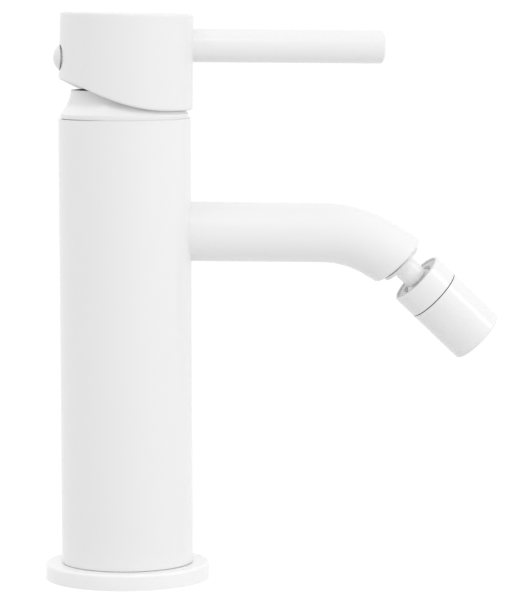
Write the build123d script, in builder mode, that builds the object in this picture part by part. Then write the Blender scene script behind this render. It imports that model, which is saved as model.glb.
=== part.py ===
from build123d import *
import os
from math import asin, cos, radians, sin, sqrt, tan

# Bidet mixer: a single-lever basin-style body with a fixed spout and a swivelling outlet.
# Millimetres. +Z is up, the spout and the lever point along +X, and the origin is the
# centre of the underside.

# Fits and small gaps
overrun = 1.0
thread_gap = 0.05
fit_gap = 0.1
disc_film = 0.05
seal_gap = 0.05

# Base rosette and its gasket
rosette_overhang = 5.5
rosette_h = 5.5
rosette_round = 1.0
gasket_edge = 2.2
gasket_w = 3.6
gasket_h = 1.5

# Body
body_r = 22.5
body_top = 157.65
seam_h = 0.3
seam_depth = 1.5
foot_seam_h = 0.22
foot_seam_depth = 0.7
body_wall = 3.2
plug_step = 3.5
floor_h = 20.0
deck_depth = 26.65
block_l = 27.0

# Hose inlets and fixing stud
port_x = 2.6
port_y = 7.0
port_r = 1.6
inlet_thread_r = 4.5
inlet_depth = 12.0
stud_thread_r = 3.4
stud_depth = 16.0
stud_x = -10.0

# Supply tubes
tube_r = 4.0
tube_bore_r = 3.0
tube_socket = 6.5
tube_ring_wire_r = 0.7
tube_ring_low_z = 16.0
tube_ring_top_depth = 3.2

# Spout
spout_drop = 38.2
spout_droop = 1.55
spout_r = 10.2
spout_wall = 2.0
spout_bend_x = 78.9
spout_bend_r = 40.0
spout_tip_angle = 31.06
spout_straight = 8.215
spout_rim_round = 1.1
spout_end_wall = 6.0
spout_socket = 3.7
spigot_step = 1.3
spigot_start_x = 9.5
spigot_wall = 2.5
spout_ring_in = 4.0
spout_ring_wire_r = 0.6
mix_bore_r = 4.0
mix_port_x = -4.5
mix_port_r = 2.8

# Adapter and ball nipple
outlet_angle = 43.8
end_step = 0.3
end_tilt = 2.6
washer_thin = 0.03
washer_overhang = 0.25
flange_r = 7.75
flange_h = 1.2
adapter_r = 6.4
adapter_l = 7.5
nipple_thread_r = 3.4
nipple_bore_r = 2.2
neck_r = 4.25
neck_flare = 0.4
ball_r = 7.3
ball_flat_angle = 24.0
rim_t = 9.05
ball_depth = 6.2

# Swivelling outlet
outlet_wall = 1.73
outlet_l = 30.5
collar_l = 8.4
outlet_seam_h = 0.36
outlet_seam_depth = 0.7
outlet_round = 1.0
rim_round = 0.4
lip_wall = 0.83
retainer_sink = 0.6
retainer_l = 3.4
retainer_cone_r = 0.55
swivel_gap = 0.08
liner_wall = 0.94
liner_half_angle = 14.0
ball_latitude = 38.6
catch_latitude = 32.0
seat_top_latitude = 31.5
seat_low_latitude = 48.0
seat_step = 0.18
seat_l = 7.7
seat_seal_h = 0.6
web_h = 2.0
web_lip = 2.12
spigot_overlap = 3.0
shell_wall = 1.48
aerator_sink = 0.9
flow_washer_h = 1.5
flow_washer_lip = 2.6
screen_h = 0.4
screen_hole = 0.9
screen_pitch = 1.5
flow_disc_h = 2.0
jet_r = 0.5
jet_ring_in = 3.0
jet_count = 12
sleeve_wall = 1.2
sleeve_lip = 0.7
grid_h = 2.0
grid_cell_r = 0.75
grid_pitch = 1.75

# Dome collar and cartridge nut
collar_inset = 0.75
collar_lip_h = 1.4
collar_lip_round = 0.45
collar_top_inset = 3.65
collar_rise = 9.8
dome_waist_inset = 2.4
dome_waist_rise = 5.25
collar_wall = 1.6
skirt_inset = 2.6
skirt_wall = 1.2
skirt_l = 5.3
collar_ring_wire_r = 0.45
collar_ring_depth = 2.65
nut_thread_step = 0.95
nut_thread_l = 4.0
nut_corner_gap = 0.22
nut_hex_h = 5.0

# Cartridge
housing_share = 7 / 9
housing_wall = 1.6
housing_roof = 1.75
housing_neck_wall = 1.4
housing_neck_l = 10.0
cartridge_base_h = 3.0
port_ring_wire_r = 0.7
fixed_disc_gap = 0.9
fixed_disc_h = 3.0
disc_play = 0.525
moving_disc_h = 3.0
chamber_back_share = 0.62
chamber_front_share = 0.29
chamber_side_share = 0.67
chamber_depth = 1.8
carrier_h = 4.0
foot_sink = 0.22
pocket_depth = 3.5
pocket_gap = 0.4
turret_gap = 3.9
turret_flange_gap = 1.4
turret_flange_h = 2.0
turret_rise = 4.5
turret_ring_rise = 4.0
turret_ring_wire_r = 0.45
turret_slot_share = 0.6
limiter_gap = 0.3
limiter_wall = 2.3
limiter_h = 2.4
limiter_notch_angle = 40.0

# Lever
pivot_rise = 5.35
lift_range = 24.0
foot_r = 2.4
arm_root_r = 2.4
arm_waist_r = 1.7
pin_r = 1.5
pin_gap = 0.06
pin_sink = 0.5
stem_w = 8.0
stem_gap = 0.15
head_tilt = 1.3
head_forward = 0.35
head_overhang = 0.4
head_draft = 0.35
head_low = -2.0
head_top = 30.4
head_round = 0.8
head_wall = 1.7
head_cap = 2.8
head_cavity_top = 12.0
slope_angle = 23.4
slope_blend_r = 60.0
screw_z = 15.0
screw_r = 1.95
screw_l = 8.0
screw_key_r = 1.15
screw_key_depth = 2.0
button_r = 4.15
button_gap = 0.15
button_depth = 4.4
button_rim = 0.25
button_stem_r = 2.9
button_dome = 1.9
pad_wall = 1.0
pad_h = 0.9
rod_below_top = 10.825
rod_droop = 0.83
rod_r = 5.69
rod_l = 68.5
rod_socket = 1.8
rod_chamfer = 0.5
rod_spigot_r = 4.0
rod_spigot_start = 10.2

# Radii that follow the body's
rosette_r = body_r + rosette_overhang
gasket_outer_r = rosette_r - gasket_edge
gasket_inner_r = gasket_outer_r - gasket_w
plug_r = body_r - plug_step
housing_r = body_r * housing_share
cavity_r = housing_r - housing_wall
turret_r = cavity_r - turret_gap
housing_neck_r = turret_r + housing_neck_wall
skirt_r = body_r - skirt_inset
nut_thread_r = skirt_r - nut_thread_step
collar_r = body_r - collar_inset
collar_top_r = collar_r - collar_top_inset
dome_waist_r = collar_r - dome_waist_inset
head_low_r = body_r + head_overhang
head_top_r = head_low_r - head_draft
head_cavity_r = head_low_r - head_wall

# Radii of the spout and the outlet
spout_bore_r = spout_r - spout_wall
spigot_r = spout_r - spigot_step
spigot_bore_r = spigot_r - spigot_wall
cup_r = ball_r + swivel_gap
race_r = cup_r + liner_wall + swivel_gap
outlet_r = race_r + outlet_wall
lip_bore_r = outlet_r - lip_wall
seat_r = ball_r - seat_step
web_hole_r = seat_r - web_lip
shell_bore_r = outlet_r - shell_wall
aerator_r = shell_bore_r - thread_gap

# Heights of the body and of the stack inside the cartridge
deck_z = body_top - deck_depth
block_low = deck_z - block_l
spout_z = body_top - spout_drop
base_top_z = deck_z + cartridge_base_h
fixed_top_z = base_top_z + fixed_disc_h
moving_low_z = fixed_top_z + disc_film
moving_top_z = moving_low_z + moving_disc_h
carrier_top_z = moving_top_z + carrier_h
turret_low_z = carrier_top_z + fit_gap
cavity_top_z = turret_low_z + turret_flange_h + fit_gap
housing_top_z = cavity_top_z + housing_roof
housing_neck_top_z = housing_top_z + housing_neck_l
turret_ring_z = housing_top_z + turret_ring_rise
collar_ring_z = body_top - collar_ring_depth
collar_top_z = body_top + collar_rise
dome_waist_z = body_top + dome_waist_rise
pivot_z = body_top + pivot_rise
turret_top_z = pivot_z + turret_rise
stem_h = head_top - head_cap - fit_gap
rod_z = pivot_z + head_top - rod_below_top

# The lever's arm reaches down into the disc carrier, half its lift back from upright
rest_angle = lift_range / 2
arm_l = (pivot_z - carrier_top_z + foot_sink) / cos(radians(rest_angle))
disc_rest_x = -arm_l * sin(radians(rest_angle))
foot = (disc_rest_x, 0, pivot_z - arm_l * cos(radians(rest_angle)))
moving_disc_r = cavity_r + disc_rest_x - disc_play

# Distances from the upright axis
spout_seat_x = body_r - spout_socket
spout_ring_x = spigot_start_x + spout_ring_in
rod_seat_x = head_low_r - rod_socket
button_seat_x = head_low_r - button_depth
pad_x = button_seat_x - pad_h

# The spout's end lies a straight stretch past its bend
bend_tangent = spout_bend_r * tan(radians((spout_tip_angle - spout_droop) / 2))
spout_tip = bend_tangent + spout_straight

# Planes and axes
spout_plane = Plane(
    origin=(0, 0, spout_z),
    x_dir=(0, 1, 0),
    z_dir=(cos(radians(spout_droop)), 0, -sin(radians(spout_droop))),
)
spout_bend_z = spout_z - spout_bend_x * tan(radians(spout_droop))
spout_end = (
    spout_bend_x + spout_tip * cos(radians(spout_tip_angle)),
    0,
    spout_bend_z - spout_tip * sin(radians(spout_tip_angle)),
)
outlet_dir = (cos(radians(outlet_angle)), 0, -sin(radians(outlet_angle)))
outlet_axis = Axis(spout_end, outlet_dir)
outlet_plane = Plane(origin=spout_end, x_dir=(0, 1, 0), z_dir=outlet_dir)
outlet_section = Plane(origin=spout_end, x_dir=outlet_dir, z_dir=(0, -1, 0))
end_angle = outlet_angle + end_tilt
spout_end_plane = Plane(
    origin=outlet_plane.origin + outlet_plane.z_dir * end_step,
    x_dir=(0, 1, 0),
    z_dir=(cos(radians(end_angle)), 0, -sin(radians(end_angle))),
)

head_up = (sin(radians(head_tilt)), 0, cos(radians(head_tilt)))
head_ahead = (cos(radians(head_tilt)), 0, -sin(radians(head_tilt)))
pivot = (0, 0, pivot_z)
head_plane = Plane(origin=pivot, x_dir=head_ahead, z_dir=head_up)
head_section = Plane(origin=pivot, x_dir=head_ahead, z_dir=(0, -1, 0))
pin_plane = Plane(origin=pivot, x_dir=(1, 0, 0), z_dir=(0, 1, 0))
head_centre = Vector(*pivot) + Vector(*head_ahead) * head_forward
head_axis = Axis(head_centre, head_up)
screw_plane = Plane(
    origin=Vector(*pivot) + Vector(*head_up) * screw_z,
    x_dir=(0, 1, 0),
    z_dir=(-head_ahead[0], 0, -head_ahead[2]),
)
rod_plane = Plane(
    origin=(0, 0, rod_z),
    x_dir=(0, 1, 0),
    z_dir=(cos(radians(rod_droop)), 0, -sin(radians(rod_droop))),
)

# Stations along the outlet. The spout's end slants a little more than the flange, so that the
# washer between them is a wedge, thinnest under the flange's upper edge.
flange_low_t = end_step + flange_r * tan(radians(end_tilt)) + washer_thin
flange_t = flange_low_t + flange_h
washer_r = flange_r + washer_overhang
ball_t = rim_t + ball_depth
collar_end_t = rim_t + collar_l
shell_end_t = rim_t + outlet_l
retainer_low_t = rim_t + retainer_sink + retainer_l
web_t = rim_t + ball_depth + seat_l + seat_seal_h + 2 * seal_gap
aerator_t = web_t + web_h


def lathe(plane, axis, outline, mode=Mode.ADD):
    """Turns a closed outline about an axis that lies in its plane."""
    with BuildSketch(plane) as profile:
        with BuildLine():
            Polyline(*outline, close=True)
        make_face()
    revolve(profile.sketch, axis=axis, mode=mode)


def ring(axis, low, high, inner, outer, mode=Mode.ADD):
    """A plain ring about the upright axis or about the outlet's axis."""
    if axis is outlet_axis:
        lathe(outlet_section, axis, [(low, inner), (high, inner), (high, outer), (low, outer)], mode)
    else:
        lathe(Plane.XZ, axis, [(inner, low), (outer, low), (outer, high), (inner, high)], mode)


def round_seal(plane, along, mid_r, wire_r):
    """An o-ring square to a plane, a given way along the plane's normal."""
    with BuildSketch(Plane(origin=plane.origin + plane.z_dir * along, x_dir=plane.x_dir, z_dir=plane.y_dir)) as wire:
        with Locations((mid_r, 0)):
            Circle(wire_r)
    revolve(wire.sketch, axis=Axis(plane.origin, plane.z_dir))


def seal_groove(plane, along, inner, outer, wire_r):
    """Cuts the square groove that an o-ring lies in."""
    with BuildSketch(Plane(plane.origin + plane.z_dir * (along - wire_r - fit_gap), plane.x_dir, plane.z_dir)) as cut:
        Circle(outer)
        Circle(inner, mode=Mode.SUBTRACT)
    extrude(cut.sketch, amount=2 * (wire_r + fit_gap), mode=Mode.SUBTRACT)


def bore(plane, low, high, radius, mode=Mode.SUBTRACT):
    """A round hole, or with Mode.ADD a round bar, between two distances along a plane's normal."""
    with BuildSketch(Plane(plane.origin + plane.z_dir * low, x_dir=plane.x_dir, z_dir=plane.z_dir)) as disc:
        Circle(radius)
    extrude(disc.sketch, amount=high - low, mode=mode)


def upright(x, y):
    """A level plane at z = 0 over a point."""
    return Plane(origin=(x, y, 0), x_dir=(1, 0, 0), z_dir=(0, 0, 1))


def on_ball(radius, latitude):
    """A point of a sphere round the ball's centre, by its angle towards the spout."""
    return (ball_t - radius * sin(radians(latitude)), radius * cos(radians(latitude)))


def save(piece, name):
    """Labels a finished piece and writes it."""
    piece.part.label = name
    export_step(piece.part, f"parts/{name}.step")


os.makedirs("parts", exist_ok=True)

# Base

with BuildPart() as base_rosette:
    ring(Axis.Z, 0, rosette_h, plug_r + fit_gap, rosette_r)
    outer_edge = base_rosette.edges().filter_by(GeomType.CIRCLE).group_by(Axis.Z)[-1].sort_by(SortBy.RADIUS)[-1]
    fillet(outer_edge, rosette_round)
    ring(Axis.Z, 0, gasket_h + seal_gap, gasket_inner_r - fit_gap, gasket_outer_r + fit_gap, Mode.SUBTRACT)
save(base_rosette, "base_rosette")

with BuildPart() as base_gasket:
    ring(Axis.Z, 0, gasket_h, gasket_inner_r, gasket_outer_r)
save(base_gasket, "base_gasket")

# Body: foot, outer wall, bottom plate, and the block that takes the spout and the cartridge

counterbore_low_z = body_top - skirt_l - fit_gap
counterbore_r = skirt_r + fit_gap

with BuildPart() as mixer_body:
    bore(Plane.XY, 0, rosette_h, plug_r, Mode.ADD)
    bore(Plane.XY, rosette_h, rosette_h + foot_seam_h, body_r - foot_seam_depth, Mode.ADD)
    bore(Plane.XY, rosette_h + foot_seam_h, body_top, body_r, Mode.ADD)
    bore(Plane.XY, floor_h, block_low, body_r - body_wall)
    bore(Plane.XY, deck_z, housing_top_z, housing_r + fit_gap)
    bore(Plane.XY, housing_top_z, counterbore_low_z, nut_thread_r + thread_gap)
    bore(Plane.XY, counterbore_low_z, body_top, counterbore_r)
    seal_groove(
        Plane.XY, collar_ring_z, counterbore_r - fit_gap,
        counterbore_r + 2 * collar_ring_wire_r, collar_ring_wire_r,
    )
    for side in (-1, 1):
        passage = upright(port_x, side * port_y)
        bore(passage, 0, inlet_depth, inlet_thread_r)
        bore(passage, inlet_depth, floor_h, tube_r + fit_gap)
        bore(passage, block_low, block_low + tube_socket, tube_r + fit_gap)
        bore(passage, block_low + tube_socket, deck_z, port_r)
        for height in (tube_ring_low_z, block_low + tube_ring_top_depth):
            seal_groove(passage, height, tube_r, tube_r + 2 * tube_ring_wire_r + fit_gap, tube_ring_wire_r)
    bore(upright(stud_x, 0), 0, stud_depth, stud_thread_r)
    bore(upright(mix_port_x, 0), spout_z, deck_z, mix_port_r)
    bore(spout_plane, mix_port_x - mix_port_r, spigot_start_x, mix_bore_r)
    bore(spout_plane, spigot_start_x - fit_gap, spout_seat_x, spigot_r + fit_gap)
    bore(spout_plane, spout_seat_x, body_r + overrun, spout_r + thread_gap)
save(mixer_body, "mixer_body")

for name, side in (("cold_supply_tube", -1), ("hot_supply_tube", 1)):
    with BuildPart() as supply_tube:
        bore(upright(port_x, side * port_y), inlet_depth, block_low + tube_socket, tube_r, Mode.ADD)
        bore(upright(port_x, side * port_y), inlet_depth, block_low + tube_socket, tube_bore_r)
    save(supply_tube, name)

with BuildPart() as supply_tube_seals:
    for side in (-1, 1):
        for height in (tube_ring_low_z, block_low + tube_ring_top_depth):
            round_seal(upright(port_x, side * port_y), height, tube_r + tube_ring_wire_r + seal_gap, tube_ring_wire_r)
save(supply_tube_seals, "supply_tube_seals")

# Spout: a bent tube with a spigot in the body and a slanted end


def spout_path_point(along):
    """A point on the level run, a given way from the body's axis."""
    droop = radians(spout_droop)
    return (along * cos(droop), spout_z - along * sin(droop))


tip_dir = (cos(radians(spout_tip_angle)), -sin(radians(spout_tip_angle)))
bend_corner = (spout_bend_x, spout_bend_z)


def tip_point(along):
    """A point on the bent-down run, a given way from the corner of the bend."""
    return (bend_corner[0] + along * tip_dir[0], bend_corner[1] + along * tip_dir[1])


def spout_run(start, finish, radius, mode):
    """Sweeps a circle along the level run, the bend and the tip."""
    with BuildLine(Plane.XZ) as path:
        FilletPolyline(spout_path_point(start), bend_corner, tip_point(finish), radius=spout_bend_r)
    with BuildSketch(Plane(origin=path.line @ 0, x_dir=(0, 1, 0), z_dir=path.line % 0)) as section:
        Circle(radius)
    sweep(section.sketch, path=path.line, mode=mode)


with BuildPart() as spout_tube:
    spout_run(spout_seat_x, spout_tip + spout_r, spout_r, Mode.ADD)
    split(bisect_by=spout_end_plane, keep=Keep.BOTTOM)
    end_face = spout_tube.faces().filter_by(GeomType.PLANE).sort_by(Axis.X)[-1]
    fillet(end_face.edges(), spout_rim_round)
    spout_run(spout_seat_x + body_wall, spout_tip - spout_end_wall, spout_bore_r, Mode.SUBTRACT)
    bore(spout_plane, spigot_start_x, spout_seat_x, spigot_r, Mode.ADD)
    bore(spout_plane, spigot_start_x, spout_seat_x + body_wall + overrun, spigot_bore_r)
    seal_groove(
        spout_plane, spout_ring_x, spigot_r - 2 * spout_ring_wire_r,
        spigot_r + fit_gap, spout_ring_wire_r,
    )
    bore(outlet_plane, -adapter_l - spout_end_wall, overrun, adapter_r + thread_gap)
save(spout_tube, "spout_tube")

with BuildPart() as spout_seal:
    round_seal(spout_plane, spout_ring_x, spigot_r + fit_gap - seal_gap - spout_ring_wire_r, spout_ring_wire_r)
save(spout_seal, "spout_seal")

# Ball joint: washer, adapter and nipple stand still on the spout

with BuildPart() as spout_washer:
    ring(outlet_axis, -overrun, flange_low_t, adapter_r + fit_gap, washer_r)
    split(bisect_by=spout_end_plane, keep=Keep.TOP)
save(spout_washer, "spout_washer")

with BuildPart() as spout_adapter:
    bore(outlet_plane, -adapter_l, flange_low_t, adapter_r, Mode.ADD)
    bore(outlet_plane, flange_low_t, flange_t, flange_r, Mode.ADD)
    bore(outlet_plane, -adapter_l, flange_t, nipple_thread_r + thread_gap)
save(spout_adapter, "spout_adapter")

with BuildPart() as ball_nipple:
    flat = on_ball(ball_r, ball_flat_angle - 90)
    root = ball_t - sqrt(ball_r**2 - neck_r**2)
    with BuildSketch(outlet_section) as nipple_outline:
        with BuildLine():
            Polyline(
                (flat[0], flat[1]), (flat[0], nipple_bore_r), (-adapter_l, nipple_bore_r),
                (-adapter_l, nipple_thread_r), (flange_t, nipple_thread_r), (flange_t, neck_r + neck_flare),
                (flange_t + neck_flare, neck_r), (root, neck_r),
            )
            ThreePointArc((root, neck_r), (ball_t, ball_r), flat)
        make_face()
    revolve(nipple_outline.sketch, axis=outlet_axis)
save(ball_nipple, "ball_nipple")

# Ball joint: the liner and the seat


def ball_band(inner, outer, half_angle):
    """A band of a thick sphere, evenly to both sides of the ball's middle."""
    with BuildSketch(outlet_section) as band:
        with BuildLine():
            ThreePointArc(on_ball(inner, half_angle), on_ball(inner, 0), on_ball(inner, -half_angle))
            Line(on_ball(inner, -half_angle), on_ball(outer, -half_angle))
            ThreePointArc(on_ball(outer, -half_angle), on_ball(outer, 0), on_ball(outer, half_angle))
            Line(on_ball(outer, half_angle), on_ball(inner, half_angle))
        make_face()
    revolve(band.sketch, axis=outlet_axis)


with BuildPart() as ball_liner:
    ball_band(cup_r, cup_r + liner_wall, liner_half_angle)
save(ball_liner, "ball_liner")

seat_end_t = ball_t + seat_l
with BuildPart() as ball_seat:
    top = on_ball(cup_r, -seat_top_latitude)
    low = on_ball(cup_r, -seat_low_latitude)
    shoulder_t = ball_t + seat_r * tan(radians(seat_top_latitude))
    mid = on_ball(cup_r, -(seat_top_latitude + seat_low_latitude) / 2)
    with BuildSketch(outlet_section) as seat_outline:
        with BuildLine():
            ThreePointArc(top, mid, low)
            Polyline(low, (seat_end_t, low[1]), (seat_end_t, seat_r), (shoulder_t, seat_r), top)
        make_face()
    revolve(seat_outline.sketch, axis=outlet_axis)
save(ball_seat, "ball_seat")

# Outlet: collar, retainer and shell turn on the ball together


def on_race(along):
    """A point of the outer race round the ball, a given way along the outlet's axis."""
    return (along, sqrt(race_r**2 - (ball_t - along) ** 2))


def race_arc(start, finish):
    """The stretch of the outer race between two of its points."""
    ThreePointArc(start, on_race((start[0] + finish[0]) / 2), finish)


race_at_retainer = on_race(retainer_low_t)
spigot_t = collar_end_t - spigot_overlap

with BuildPart() as swivel_collar:
    with BuildSketch(outlet_section) as collar_outline:
        with BuildLine():
            race_arc(race_at_retainer, on_race(spigot_t))
            Polyline(
                on_race(spigot_t), (spigot_t, lip_bore_r), (collar_end_t, lip_bore_r),
                (collar_end_t, outlet_r), (rim_t, outlet_r), (rim_t, lip_bore_r),
                (retainer_low_t, lip_bore_r), race_at_retainer,
            )
        make_face()
    revolve(collar_outline.sketch, axis=outlet_axis)
    rim_edge = swivel_collar.edges().filter_by(GeomType.CIRCLE).filter_by(
        lambda edge: abs(edge.radius - outlet_r) < fit_gap
    ).sort_by(Axis(spout_end, outlet_dir))[0]
    fillet(rim_edge, rim_round)
save(swivel_collar, "swivel_collar")

with BuildPart() as ball_retainer:
    floor_t = rim_t + retainer_sink
    mouth = on_ball(cup_r, ball_latitude)
    catch = on_ball(cup_r, catch_latitude)
    catch_out = on_ball(race_r, catch_latitude)
    with BuildSketch(outlet_section) as retainer_outline:
        with BuildLine():
            ThreePointArc(mouth, on_ball(cup_r, (ball_latitude + catch_latitude) / 2), catch)
            Line(catch, catch_out)
            race_arc(catch_out, race_at_retainer)
            Polyline(
                race_at_retainer, (retainer_low_t, lip_bore_r - thread_gap),
                (floor_t, lip_bore_r - thread_gap), (floor_t, mouth[1] + retainer_cone_r), mouth,
            )
        make_face()
    revolve(retainer_outline.sketch, axis=outlet_axis)
save(ball_retainer, "ball_retainer")

seat_bore_r = seat_r + swivel_gap
race_low = (ball_t + sqrt(race_r**2 - seat_bore_r**2), seat_bore_r)
race_top = on_race(spigot_t + fit_gap)

with BuildPart() as outlet_shell:
    with BuildSketch(outlet_section) as shell_outline:
        with BuildLine():
            race_arc(race_top, race_low)
            Polyline(
                race_low, (web_t, seat_bore_r), (web_t, web_hole_r), (aerator_t, web_hole_r),
                (aerator_t, shell_bore_r), (shell_end_t, shell_bore_r), (shell_end_t, outlet_r),
                (collar_end_t + outlet_seam_h, outlet_r),
                (collar_end_t + outlet_seam_h, outlet_r - outlet_seam_depth),
                (collar_end_t, outlet_r - outlet_seam_depth), (collar_end_t, lip_bore_r - thread_gap),
                (race_top[0], lip_bore_r - thread_gap), race_top,
            )
        make_face()
    revolve(shell_outline.sketch, axis=outlet_axis)
    end_edge = outlet_shell.edges().filter_by(GeomType.CIRCLE).filter_by(
        lambda edge: abs(edge.radius - outlet_r) < fit_gap
    ).sort_by(Axis(spout_end, outlet_dir))[-1]
    fillet(end_edge, outlet_round)
save(outlet_shell, "outlet_shell")

with BuildPart() as seat_seal:
    ring(outlet_axis, seat_end_t + seal_gap, web_t, web_hole_r, seat_r)
save(seat_seal, "seat_seal")

# Aerator inside the outlet shell

washer_end_t = aerator_t + flow_washer_h
with BuildPart() as flow_washer:
    ring(outlet_axis, aerator_t, washer_end_t, aerator_r - flow_washer_lip, aerator_r - fit_gap)
save(flow_washer, "flow_washer")


def screen(start, height, radius, hole, pitch):
    """A round plate with a square field of holes that stays clear of its edge."""
    bore(outlet_plane, start, start + height, radius, Mode.ADD)
    field = radius - hole
    count = int(2 * field / pitch) + 1
    with BuildSketch(Plane(outlet_plane.origin + outlet_plane.z_dir * start, (0, 1, 0), outlet_dir)) as holes:
        for row in range(count):
            for column in range(count):
                across = (row - (count - 1) / 2) * pitch
                along = (column - (count - 1) / 2) * pitch
                if across**2 + along**2 < (field - hole / 2) ** 2:
                    with Locations((across, along)):
                        Rectangle(hole, hole)
    extrude(holes.sketch, amount=height, mode=Mode.SUBTRACT)


inlet_screen_t = washer_end_t
with BuildPart() as inlet_screen:
    screen(inlet_screen_t, screen_h, aerator_r - fit_gap, screen_hole, screen_pitch)
save(inlet_screen, "inlet_screen")

flow_disc_t = inlet_screen_t + screen_h
jet_ring_r = aerator_r - jet_ring_in
with BuildPart() as flow_disc:
    bore(outlet_plane, flow_disc_t, flow_disc_t + flow_disc_h, aerator_r - fit_gap, Mode.ADD)
    with BuildSketch(Plane(outlet_plane.origin + outlet_plane.z_dir * flow_disc_t, (0, 1, 0), outlet_dir)) as jets:
        with PolarLocations(jet_ring_r, jet_count):
            Circle(jet_r)
        with PolarLocations(jet_ring_r / 2, jet_count // 2):
            Circle(jet_r)
    extrude(jets.sketch, amount=flow_disc_h, mode=Mode.SUBTRACT)
save(flow_disc, "flow_disc")

sleeve_t = flow_disc_t + flow_disc_h
sleeve_end_t = shell_end_t - aerator_sink
sleeve_bore_r = aerator_r - sleeve_wall
lip_t = sleeve_end_t - sleeve_lip
with BuildPart() as aerator_sleeve:
    ring(outlet_axis, sleeve_t, lip_t, sleeve_bore_r, aerator_r)
    ring(outlet_axis, lip_t, sleeve_end_t, sleeve_bore_r - sleeve_lip, aerator_r)
save(aerator_sleeve, "aerator_sleeve")

grid_t = lip_t - grid_h
with BuildPart() as outlet_grid:
    bore(outlet_plane, grid_t, lip_t, sleeve_bore_r - fit_gap, Mode.ADD)
    grid_plane = Plane(outlet_plane.origin + outlet_plane.z_dir * grid_t, (0, 1, 0), outlet_dir)
    with BuildSketch(grid_plane) as cells:
        row_step = grid_pitch * sqrt(3) / 2
        rows = int((sleeve_bore_r - 2 * grid_cell_r) / row_step)
        for row in range(-rows, rows + 1):
            for column in range(-2 * rows, 2 * rows + 1):
                across = (column + (row % 2) / 2) * grid_pitch
                along = row * row_step
                if sqrt(across**2 + along**2) < sleeve_bore_r - 2 * grid_cell_r:
                    with Locations((across, along)):
                        RegularPolygon(grid_cell_r, 6, rotation=30)
    extrude(cells.sketch, amount=grid_h, mode=Mode.SUBTRACT)
save(outlet_grid, "outlet_grid")

with BuildPart() as mixing_screens:
    for place in (1, 2):
        screen(
            grid_t - place * (screen_h + fit_gap), screen_h,
            sleeve_bore_r - fit_gap, screen_hole, screen_pitch,
        )
save(mixing_screens, "mixing_screens")

# Dome collar and the nut that holds the cartridge down

collar_foot_r = body_r - seam_depth - fit_gap
skirt_low_z = body_top - skirt_l
lip_top_z = body_top + seam_h + collar_lip_h

with BuildPart() as dome_collar:
    with BuildSketch(Plane.XZ) as dome_outline:
        with BuildLine():
            inner_r = skirt_r - skirt_wall
            Polyline(
                (collar_top_r - collar_wall, collar_top_z), (dome_waist_r - collar_wall, dome_waist_z),
                (inner_r, lip_top_z), (inner_r, skirt_low_z), (skirt_r, skirt_low_z), (skirt_r, body_top),
                (collar_foot_r, body_top), (collar_foot_r, body_top + seam_h), (collar_r, body_top + seam_h),
                (collar_r, lip_top_z), (collar_r - collar_lip_round, lip_top_z + collar_lip_round),
            )
            ThreePointArc(
                (collar_r - collar_lip_round, lip_top_z + collar_lip_round),
                (dome_waist_r, dome_waist_z), (collar_top_r, collar_top_z),
            )
            Line((collar_top_r, collar_top_z), (collar_top_r - collar_wall, collar_top_z))
        make_face()
    revolve(dome_outline.sketch, axis=Axis.Z)
save(dome_collar, "dome_collar")

with BuildPart() as collar_seal:
    round_seal(Plane.XY, collar_ring_z, skirt_r + seal_gap + collar_ring_wire_r, collar_ring_wire_r)
save(collar_seal, "collar_seal")

with BuildPart() as cartridge_nut:
    bore(Plane.XY, housing_top_z, housing_top_z + nut_thread_l, nut_thread_r, Mode.ADD)
    with BuildSketch(Plane.XY.offset(housing_top_z + nut_thread_l)) as hexagon:
        RegularPolygon(skirt_r - skirt_wall - nut_corner_gap, 6)
    extrude(hexagon.sketch, amount=nut_hex_h)
    bore(Plane.XY, housing_top_z, housing_top_z + nut_thread_l + nut_hex_h, housing_neck_r + fit_gap)
save(cartridge_nut, "cartridge_nut")

# Cartridge

with BuildPart() as cartridge_housing:
    bore(Plane.XY, deck_z, housing_top_z, housing_r, Mode.ADD)
    bore(Plane.XY, housing_top_z, housing_neck_top_z, housing_neck_r, Mode.ADD)
    bore(Plane.XY, deck_z, cavity_top_z, cavity_r)
    bore(Plane.XY, cavity_top_z, housing_neck_top_z, turret_r + fit_gap)
save(cartridge_housing, "cartridge_housing")

ports = [(port_x, port_y, port_r), (port_x, -port_y, port_r), (mix_port_x, 0, mix_port_r)]

with BuildPart() as cartridge_base:
    bore(Plane.XY, deck_z, base_top_z, cavity_r - fit_gap, Mode.ADD)
    for x, y, radius in ports:
        bore(upright(x, y), deck_z, base_top_z, radius)
        bore(upright(x, y), deck_z, deck_z + 2 * port_ring_wire_r, radius + 2 * port_ring_wire_r + 2 * fit_gap)
save(cartridge_base, "cartridge_base")

with BuildPart() as port_seals:
    for x, y, radius in ports:
        round_seal(upright(x, y), deck_z + port_ring_wire_r, radius + port_ring_wire_r + fit_gap, port_ring_wire_r)
save(port_seals, "port_seals")

with BuildPart() as fixed_disc:
    bore(Plane.XY, base_top_z, fixed_top_z, cavity_r - fixed_disc_gap, Mode.ADD)
    for x, y, radius in ports:
        bore(upright(x, y), base_top_z, fixed_top_z, radius)
save(fixed_disc, "fixed_disc")

disc_plane = upright(disc_rest_x, 0)
chamber_back = moving_disc_r * chamber_back_share
chamber_front = moving_disc_r * chamber_front_share

with BuildPart() as moving_disc:
    bore(disc_plane, moving_low_z, moving_top_z, moving_disc_r, Mode.ADD)
    with BuildSketch(disc_plane.offset(moving_low_z)) as chamber:
        with Locations(((chamber_front - chamber_back) / 2, 0)):
            Rectangle(chamber_back + chamber_front, 2 * moving_disc_r * chamber_side_share)
    extrude(chamber.sketch, amount=chamber_depth, mode=Mode.SUBTRACT)
save(moving_disc, "moving_disc")

with BuildPart() as disc_carrier:
    bore(disc_plane, moving_top_z, carrier_top_z, moving_disc_r, Mode.ADD)
    bore(disc_plane, carrier_top_z - pocket_depth, carrier_top_z, foot_r + pocket_gap)
save(disc_carrier, "disc_carrier")

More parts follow.
